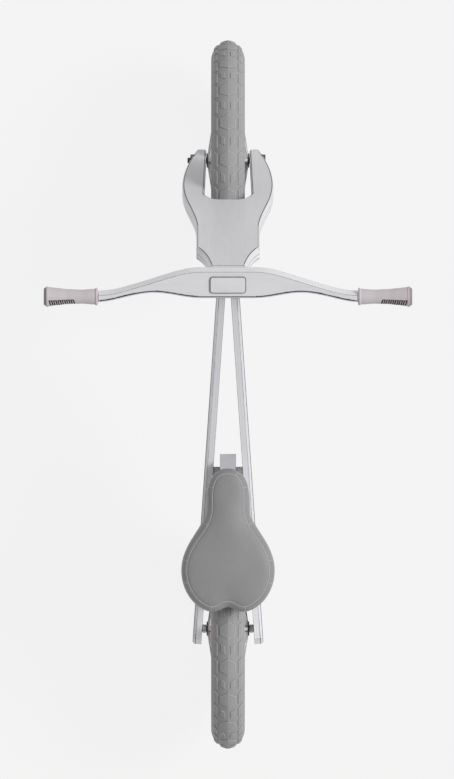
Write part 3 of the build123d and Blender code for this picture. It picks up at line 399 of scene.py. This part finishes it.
class TyreShape:
    """Where a point of the tread lies: lateral place w, place u along the crown, height above the casing."""

    def __init__(self, node):
        self.centre, size = centre_of(node)
        self.outer = size.y / 2
        self.crown = self.outer - BLOCK_HEIGHT
        self.radius = size.x / 2 + SECTION_SHIFT
        self.ring = self.crown - math.sqrt(self.radius ** 2 - SECTION_SHIFT ** 2)

    def point(self, u, w, height=0.0):
        reach = abs(w) + SECTION_SHIFT
        rise = math.sqrt(max(self.radius ** 2 - reach ** 2, 0))
        side = math.copysign(reach, w) / self.radius
        up = rise / self.radius
        r = self.ring + rise + height * up
        x = w if abs(w) < ON_CROWN else w + height * side
        turn = u / self.outer
        return self.centre + Vector((x, r * math.sin(turn), r * math.cos(turn)))

    def section(self):
        """Closed outline (x, r) from the left bead over the crown and back through the rim seat."""
        start = math.asin((LIP_TOP - self.ring) / self.radius)
        peak = math.acos(SECTION_SHIFT / self.radius)
        right = []
        for k in range(SECTION_STEPS + 1):
            angle = start + (peak - start) * k / SECTION_STEPS
            x = self.radius * math.cos(angle) - SECTION_SHIFT
            right.append((x, self.ring + self.radius * math.sin(angle)))
        left = [(-x, r) for x, r in reversed(right[:-1])]
        seat = [(-LIP_INSIDE, LIP_TOP), (-LIP_INSIDE, RIM_TOP), (LIP_INSIDE, RIM_TOP), (LIP_INSIDE, LIP_TOP)]
        return right + left + seat


def tread_outlines(pitch):
    """Block outlines of one pitch, as (u, w) in metres: a hexagon, two lozenges and four side knobs."""
    shapes = [HEXAGON]
    for side in (-1, 1):
        shapes.append([(u + pitch / 2, side * w) for u, w in LOZENGE])
        for step in (0, 1):
            shapes.append([(u + step * pitch / 2, side * w) for u, w in KNOB])
    return [[(u * MM, w * MM) for u, w in shape] for shape in shapes]


def pairs(points):
    """Each point of a closed outline with the next."""
    return zip(points, points[1:] + points[:1])


def side_counts(outline):
    """How many parts each side of an outline is cut into, so that it can follow the tyre's curve."""
    return [max(1, math.ceil(math.hypot(u1 - u0, w1 - w0) / BLOCK_STEP))
            for (u0, w0), (u1, w1) in pairs(outline)]


def split_outline(outline, counts):
    """Points along an outline's sides, with a given number of parts to each side."""
    points = []
    for ((u0, w0), (u1, w1)), parts in zip(pairs(outline), counts):
        points += [(u0 + (u1 - u0) * k / parts, w0 + (w1 - w0) * k / parts) for k in range(parts)]
    return points


def inset_polygon(points, distance):
    """A convex outline with every side moved inward by the same distance."""
    turn = math.copysign(1, sum(a[0] * b[1] - b[0] * a[1] for a, b in pairs(points)))
    sides = []
    for (u0, w0), (u1, w1) in pairs(points):
        length = math.hypot(u1 - u0, w1 - w0)
        normal = (-(w1 - w0) / length * turn, (u1 - u0) / length * turn)
        sides.append((normal, normal[0] * u0 + normal[1] * w0 + distance))
    corners = []
    for (n0, d0), (n1, d1) in zip(sides[-1:] + sides[:-1], sides):
        det = n0[0] * n1[1] - n0[1] * n1[0]
        corners.append(((d0 * n1[1] - d1 * n0[1]) / det, (n0[0] * d1 - n1[0] * d0) / det))
    return corners


def add_block(shape, outline, shift, verts, faces, face_materials):
    """One raised block: walls, a narrow edge in a lighter tone that is a painted highlight, and a top that
    follows the crown.
    """
    counts = side_counts(outline)
    cu = sum(p[0] for p in outline) / len(outline)
    cw = sum(p[1] for p in outline) / len(outline)
    edge = inset_polygon(outline, BLOCK_EDGE)
    core = [(cu + (u - cu) * BLOCK_CORE, cw + (w - cw) * BLOCK_CORE) for u, w in edge]
    rings = ((outline, -BLOCK_ROOT), (outline, BLOCK_HEIGHT * BLOCK_WALL),
             (edge, BLOCK_HEIGHT), (core, BLOCK_HEIGHT))
    start, count = len(verts), sum(counts)
    for corners, height in rings:
        for u, w in split_outline(corners, counts):
            verts.append(shape.point(shift + u, w, height))
    verts.append(shape.point(shift + cu, cw, BLOCK_HEIGHT))
    verts.append(shape.point(shift + cu, cw, -BLOCK_ROOT))
    top, bottom = len(verts) - 2, len(verts) - 1
    for ring in range(len(rings) - 1):
        for k in range(count):
            a, b = start + ring * count + k, start + ring * count + (k + 1) % count
            faces.append((a, b, b + count, a + count))
            # the ring between wall and top takes the painted highlight rubber
            face_materials.append(1 if ring == 1 else 0)
    last = start + (len(rings) - 1) * count
    for k in range(count):
        faces.append((last + k, last + (k + 1) % count, top))
        face_materials.append(0)
        faces.append((start + (k + 1) % count, start + k, bottom))
        face_materials.append(0)


def make_tyre(name, node, body, materials):
    shape = TyreShape(node)
    verts, faces, face_materials = [], [], []
    section = shape.section()
    count = len(section)
    for t in range(TYRE_TURNS):
        angle = 2 * math.pi * t / TYRE_TURNS
        for x, r in section:
            verts.append(shape.centre + Vector((x, r * math.sin(angle), r * math.cos(angle))))
    for t in range(TYRE_TURNS):
        here, there = t * count, (t + 1) % TYRE_TURNS * count
        for k in range(count):
            n = (k + 1) % count
            faces.append((here + k, here + n, there + n, there + k))
            face_materials.append(0)
    pitch = 2 * math.pi * shape.outer / PITCHES
    for k in range(PITCHES):
        for outline in tread_outlines(pitch / MM):
            add_block(shape, outline, k * pitch, verts, faces, face_materials)
    rubbers = [materials["tyre"], materials["tyre_edge_painted_highlight"]]
    tyre = make_piece(name, verts, faces, body, rubbers, face_materials)
    sharpen(tyre, TREAD_SHARP)
    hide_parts(node)


# ---------------------------------------------------------------- grips

GRIP_LENGTH = 63                 # of the profile below, which is stretched to the CAD grip
GRIP_PROFILE = ((0, 9.6), (2, 11.1), (4, 9.6), (20, 8.6), (36, 9.2), (50, 10.6), (61, 11.9), (61.05, 12.6),
                (63, 12.6))      # distance from the inner end and radius: collar, waist, swell, flange
GRIP_SOFT = (4, 50)              # the spans that start in this range are curved, the others straight
GRIP_STEPS = 252
GRIP_TURNS = 128
GRIP_BORE = 5.15 * MM
GRIP_SHARP = 35                  # degrees
GROOVE_DEPTH = 0.5 * MM
RIB_COUNT = 6
RIB_PITCH = 5.27                 # millimetres, as are the places in RIB_LINES
RIB_END = 60.6
RIB_LEAN = 2.8
RIB_LINES = ((0, 1.6), (2.7, 4.5))
RIB_SOFT = 0.2
RIB_JOINED = 4.4
RIB_FROM = 0.40                  # radians round the grip from its top
RIB_TO = 2.3
LEAN_MOST = 1.6


def smooth_step(value, low, high):
    t = min(max((value - low) / (high - low), 0), 1)
    return t * t * (3 - 2 * t)


def grip_radius(along, length):
    """Outside radius at a distance from the grip's inner end."""
    place = along / length * GRIP_LENGTH
    for (a, ra), (b, rb) in zip(GRIP_PROFILE, GRIP_PROFILE[1:]):
        if place <= b:
            t = (place - a) / (b - a)
            bend = smooth_step(t, 0, 1) if GRIP_SOFT[0] <= a < GRIP_SOFT[1] else t
            return (ra + (rb - ra) * bend) * MM
    return GRIP_PROFILE[-1][1] * MM


def rib_mark(along, turn):
    """How far a point lies inside a dark rib line: slanted narrow loops on the rear of the grip."""
    around = smooth_step(turn, RIB_FROM, RIB_FROM + 0.06) * (1 - smooth_step(turn, RIB_TO - 0.1, RIB_TO))
    lean = RIB_LEAN * min(max((turn - RIB_FROM) / (math.pi / 2 - RIB_FROM), 0), LEAN_MOST)
    place = (RIB_END - along / MM - lean) / RIB_PITCH
    if not 0 <= place < RIB_COUNT:
        return 0
    within = place % 1 * RIB_PITCH
    lines = [smooth_step(within, low, low + RIB_SOFT) * (1 - smooth_step(within, high, high + RIB_SOFT))
             for low, high in RIB_LINES]
    closed = (turn < RIB_FROM + 0.16 or turn > RIB_TO - 0.2) and within < RIB_JOINED
    return max(*lines, 1.0 if closed else 0.0) * around


def make_grip(name, node, side, materials):
    centre, size = centre_of(node)
    length = size.x
    inner = centre.x - side * length / 2
    angles = [2 * math.pi * t / GRIP_TURNS for t in range(GRIP_TURNS)]

    def on_ring(along, turn, r):
        return inner + side * along, centre.y - r * math.sin(turn), centre.z + r * math.cos(turn)

    def strip(first, second):
        return [(first + t, first + (t + 1) % GRIP_TURNS, second + (t + 1) % GRIP_TURNS, second + t)
                for t in range(GRIP_TURNS)]

    verts, faces, face_materials, marks = [], [], [], []
    for k in range(GRIP_STEPS + 1):
        along = length * k / GRIP_STEPS
        for turn in angles:
            marks.append(rib_mark(along, turn))
            verts.append(on_ring(along, turn, grip_radius(along, length) - GROOVE_DEPTH * marks[-1]))
    for k in range(GRIP_STEPS):
        for corners in strip(k * GRIP_TURNS, (k + 1) * GRIP_TURNS):
            faces.append(corners)
            face_materials.append(1 if sum(marks[c] for c in corners) / 4 > 0.5 else 0)
    bores = []
    for k in (0, GRIP_STEPS):
        bores.append(len(verts))
        verts += [on_ring(length * k / GRIP_STEPS, turn, GRIP_BORE) for turn in angles]
        faces += strip(k * GRIP_TURNS, bores[-1])
    faces += strip(*bores)
    face_materials += [0] * (len(faces) - len(face_materials))
    rubbers = [materials["grip"], materials["grip_dark"]]
    grip = make_piece(name, verts, faces, "steering", rubbers, face_materials)
    sharpen(grip, GRIP_SHARP)
    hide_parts(node)


# ---------------------------------------------------------------- saddle

SEAM_INSET = 8.0 * MM
SEAM_DEPTH = 0.7 * MM
SEAM_REACH = 2.6 * MM
PIPING_RADIUS = 0.45 * MM
CROSS_SEAM_RADIUS = 0.4 * MM
CROSS_SEAM_STEPS = 6
CROSS_SEAMS = (0.05, 0.16, 0.22, 0.33, 0.42, 0.47, 0.58, 0.67, 0.78, 0.84, 0.95)  # shares of the outline
VOXEL = 4.0 * MM
HELD_HEIGHT = 6 * MM
CLOTH_STEPS = 20
SWELL_LIMIT = 3.5 * MM
START_INSET = 1.0 * MM
OUTLINE_HUB = 0.39               # share of the saddle's length where its outline's angles are taken
ABOVE = 0.05                     # height over the saddle that points are dropped from

# inset from the outline in millimetres, and share of the cushion's height, from the underside to the crown
SHELL = ((1.6, 0.01), (0.0, 0.08), (0.0, 0.45), (0.2, 0.68), (1.2, 0.80), (3.0, 0.88), (5.4, 0.935),
         (8.0, 0.96), (12.0, 0.965))


def saddle_outline(count=240):
    """The CAD cushion's outline seen from above, evenly spaced, anticlockwise from the notch."""
    mesh = NODES["saddle_cushion"].data
    low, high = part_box("saddle_cushion")
    hub = Vector((0, low.y + OUTLINE_HUB * (high.y - low.y)))
    rim = {}
    for vertex in mesh.vertices:
        if vertex.co.z < low.z + 0.5 * MM:
            flat = Vector((vertex.co.x, vertex.co.y))
            rim[round(math.atan2(flat.x - hub.x, hub.y - flat.y), 5)] = flat
    loop = [rim[key] for key in sorted(rim)]
    notch = min(range(len(loop)), key=lambda i: abs(loop[i].x) + (0 if loop[i].y < hub.y else 1))
    loop = loop[notch:] + loop[:notch]
    lengths = [0.0]
    for a, b in zip(loop, loop[1:] + loop[:1]):
        lengths.append(lengths[-1] + (b - a).length)
    total, points, j = lengths[-1], [], 0
    for k in range(count):
        goal = total * k / count
        while lengths[j + 1] < goal:
            j += 1
        t = (goal - lengths[j]) / max(lengths[j + 1] - lengths[j], 1e-9)
        points.append(loop[j].lerp(loop[(j + 1) % len(loop)], t))
    return points


def inset_loop(points, distance, rounds=10):
    """An outline moved inward by small steps, evened after each step."""
    loop = [p.copy() for p in points]
    count = len(loop)
    for _ in range(rounds):
        moved = []
        for k, p in enumerate(loop):
            tangent = (loop[(k + 1) % count] - loop[k - 1]).normalized()
            moved.append(p + Vector((-tangent.y, tangent.x)) * (distance / rounds))
        loop = [(moved[k - 1] + 4 * moved[k] + moved[(k + 1) % count]) / 6 for k in range(count)]
    return loop


def swell(piece):
    """Blow the shell up a little as cloth, cap how far each point goes, and apply the result."""
    start = [v.co.copy() for v in piece.data.vertices]
    low = min(v.z for v in start)
    held = piece.vertex_groups.new(name="held")
    held.add([i for i, v in enumerate(start) if v.z < low + HELD_HEIGHT], 1.0, "REPLACE")
    cloth = piece.modifiers.new("cloth", "CLOTH")
    cloth.settings.use_pressure = True
    cloth.settings.uniform_pressure_force = 4.0
    cloth.settings.vertex_group_mass = "held"
    cloth.settings.effector_weights.gravity = 0
    cloth.settings.tension_stiffness = 30
    cloth.settings.compression_stiffness = 30
    cloth.settings.bending_stiffness = 2.0
    scene = bpy.context.scene
    for step in range(1, CLOTH_STEPS + 1):
        scene.frame_set(step)
    evaluated = piece.evaluated_get(bpy.context.evaluated_depsgraph_get())
    blown = [v.co.copy() for v in evaluated.data.vertices]
    piece.modifiers.remove(cloth)
    scene.frame_set(1)
    for vertex, a, b in zip(piece.data.vertices, start, blown):
        move = b - a
        vertex.co = a + move * min(1, SWELL_LIMIT / max(move.length, 1e-9))


def press_seam(piece, seam):
    """Sink the cover in a narrow channel along the seam."""
    for vertex in piece.data.vertices:
        flat = Vector((vertex.co.x, vertex.co.y))
        gap = min((flat - p).length for p in seam)
        if gap < SEAM_REACH and vertex.normal.z > 0.2:
            vertex.co.z -= SEAM_DEPTH * (1 - smooth_step(gap, 0, SEAM_REACH))


def tube(path, radius, closed, sides=8):
    """Vertices and faces of a round tube along points."""
    verts, faces, count = [], [], len(path)
    for k, p in enumerate(path):
        before = path[k - 1] if closed or k else p
        after = path[(k + 1) % count] if closed or k < count - 1 else p
        tangent = (after - before).normalized()
        side = tangent.cross(Vector((0, 0, 1))).normalized()
        up = side.cross(tangent)
        for s in range(sides):
            turn = 2 * math.pi * s / sides
            verts.append(p + (side * math.cos(turn) + up * math.sin(turn)) * radius)
    for k in range(count if closed else count - 1):
        here, there = k * sides, (k + 1) % count * sides
        for s in range(sides):
            n = (s + 1) % sides
            faces.append((here + s, here + n, there + n, there + s))
    if not closed:
        faces.append(tuple(range(sides - 1, -1, -1)))
        faces.append(tuple(range((count - 1) * sides, count * sides)))
    return verts, faces


def drop_on(tree, flat, top):
    """The cover's surface point straight below a place seen from above."""
    hit = tree.ray_cast(Vector((flat.x, flat.y, top)), Vector((0, 0, -1)))
    return hit[0]


def make_saddle(materials):
    low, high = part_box("saddle_cushion")
    outline = saddle_outline()
    height = high.z - low.z
    shell_rings = [(START_INSET + inset * MM, rise * height) for inset, rise in SHELL]
    verts, faces, count = [], [], len(outline)
    for inset, rise in shell_rings:
        for p in inset_loop(outline, inset):
            verts.append(Vector((p.x, p.y, low.z + rise)))
    for ring in range(len(shell_rings) - 1):
        for k in range(count):
            n = (k + 1) % count
            a, b = ring * count + k, ring * count + n
            faces.append((a, b, b + count, a + count))
    faces.append(tuple(range(count - 1, -1, -1)))
    last = (len(shell_rings) - 1) * count
    faces.append(tuple(range(last, last + count)))
    cover = make_piece("saddle_cover", verts, faces, "seat", [materials["saddle"]])
    remesh = cover.modifiers.new("remesh", "REMESH")
    remesh.mode, remesh.voxel_size, remesh.use_smooth_shade = "VOXEL", VOXEL, True
    bake_modifiers(cover)
    swell(cover)
    smooth = cover.modifiers.new("smooth", "CORRECTIVE_SMOOTH")
    smooth.iterations, smooth.use_only_smooth = 3, True
    bake_modifiers(cover)
    subdivide = cover.modifiers.new("subdivide", "SUBSURF")
    subdivide.levels = subdivide.render_levels = 2
    bake_modifiers(cover)
    seam = inset_loop(outline, SEAM_INSET)
    press_seam(cover, seam)
    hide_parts("saddle_cushion")

    tree = BVHTree.FromObject(cover, bpy.context.evaluated_depsgraph_get())
    top = high.z + ABOVE
    verts, faces = tube([drop_on(tree, p, top) for p in seam], PIPING_RADIUS, True)
    make_piece("saddle_piping", verts, faces, "seat", [materials["seam"]])
    verts, faces = [], []
    # short cross seams join the side band's panels
    rim = inset_loop(outline, 0.6 * MM, 2)
    for share in CROSS_SEAMS:
        k = round(share * count) % count
        spots = [seam[k].lerp(rim[k], t / CROSS_SEAM_STEPS) for t in range(CROSS_SEAM_STEPS + 1)]
        marks = [drop_on(tree, spot, top) for spot in spots]
        more_verts, more_faces = tube([m for m in marks if m], CROSS_SEAM_RADIUS, False, 6)
        faces += [tuple(i + len(verts) for i in face) for face in more_faces]
        verts += more_verts
    make_piece("saddle_cross_seams", verts, faces, "seat", [materials["seam"]])


def bake_modifiers(piece):
    """Replace a piece's mesh by its evaluated mesh."""
    evaluated = piece.evaluated_get(bpy.context.evaluated_depsgraph_get())
    mesh = bpy.data.meshes.new_from_object(evaluated)
    mesh.name = piece.name
    piece.modifiers.clear()
    piece.data = mesh
    for polygon in mesh.polygons:
        polygon.use_smooth = True


# ---------------------------------------------------------------- badge frame


BADGE_CORNER = 3.4 * MM
BADGE_CORNER_STEPS = 6
BADGE_BEAD = 0.42 * MM
BADGE_SUNK = 0.1 * MM


def make_badge_frame(materials):
    """A thin dark bead around the badge plate, on the handlebar's sloping face."""
    plate = NODES["badge_plate"].data
    centre = sum((v.co for v in plate.vertices), Vector()) / len(plate.vertices)
    lean = math.radians(HEAD_LEAN)
    normal = Vector((0, -math.sin(lean), math.cos(lean)))
    ahead = Vector((0, math.cos(lean), math.sin(lean)))
    top = max((v.co - centre).dot(normal) for v in plate.vertices) - BADGE_SUNK
    across = max(abs(v.co.x - centre.x) for v in plate.vertices) - BADGE_CORNER
    deep = max(abs((v.co - centre).dot(ahead)) for v in plate.vertices) - BADGE_CORNER
    path = []
    for corner, (sx, sy) in enumerate(((1, -1), (1, 1), (-1, 1), (-1, -1))):
        for step in range(BADGE_CORNER_STEPS + 1):
            turn = math.pi / 2 * (corner - 1 + step / BADGE_CORNER_STEPS)
            x = sx * across + BADGE_CORNER * math.cos(turn)
            y = sy * deep + BADGE_CORNER * math.sin(turn)
            path.append(centre + Vector((x, 0, 0)) + ahead * y + normal * top)
    verts, faces = tube(path, BADGE_BEAD, True)
    make_piece("badge_frame", verts, faces, "steering", [materials["badge_line"]])


# ---------------------------------------------------------------- studio


WORLD_STRENGTH = 0.42
SUN_STRENGTH = 2.3
SUN_SOFTNESS = 25                # degrees
SUN_TURN = (-8, 40, 0)           # degrees
FLOOR_SIZE = 150.0
FLOOR_DROP = 0.6 * MM
FLOOR_GLOW = 0.852               # the floor is lit mostly from within, so that it stays even
FLOOR_TONES = ((0.3, (0.05,) * 3), (0.7, (0.053,) * 3))
WHITE = (1, 1, 1, 1)


def make_studio():
    scene = bpy.context.scene
    scene.view_settings.view_transform = "Standard"
    world = bpy.data.worlds.new("studio")
    world.use_nodes = True
    background = world.node_tree.nodes["Background"]
    background.inputs["Color"].default_value = WHITE
    background.inputs["Strength"].default_value = WORLD_STRENGTH
    scene.world = world

    shade = Shade("studio_floor", 0.9, 0.0, Emission_Color=WHITE, Emission_Strength=FLOOR_GLOW)
    shade.colour(shade.ramp(shade.noise(shade.place, 1.5, 2.0), FLOOR_TONES))
    make_stage_plane("studio_floor", FLOOR_SIZE, -FLOOR_DROP, shade.material)
    add_sun("key_from_right", SUN_STRENGTH, SUN_TURN, SUN_SOFTNESS)


def make_stage_plane(name, size, height, material):
    mesh = bpy.data.meshes.new(name)
    half = size / 2
    corners = ((-1, -1), (1, -1), (1, 1), (-1, 1))
    mesh.from_pydata([(x * half, y * half, height) for x, y in corners], [], [(0, 1, 2, 3)])
    mesh.materials.append(material)
    plane = bpy.data.objects.new(name, mesh)
    bpy.context.scene.collection.objects.link(plane)
    return plane


def add_sun(name, strength, turn, softness):
    """A sun turned by three angles, with a wide disc for soft shadows; all angles in degrees."""
    data = bpy.data.lights.new(name, "SUN")
    data.energy, data.angle = strength, math.radians(softness)
    sun = bpy.data.objects.new(name, data)
    sun.rotation_euler = [math.radians(angle) for angle in turn]
    bpy.context.scene.collection.objects.link(sun)


# ---------------------------------------------------------------- build

make_camera()
make_studio()
materials = make_materials()
dress_cad_nodes(materials)
make_tyre("front_tyre_tread", "front_tyre", "front_wheel", materials)
make_tyre("rear_tyre_tread", "rear_tyre", "rear_wheel", materials)
make_grip("grip_left_rubber", "grip_left", -1, materials)
make_grip("grip_right_rubber", "grip_right", 1, materials)
make_badge_frame(materials)
make_saddle(materials)
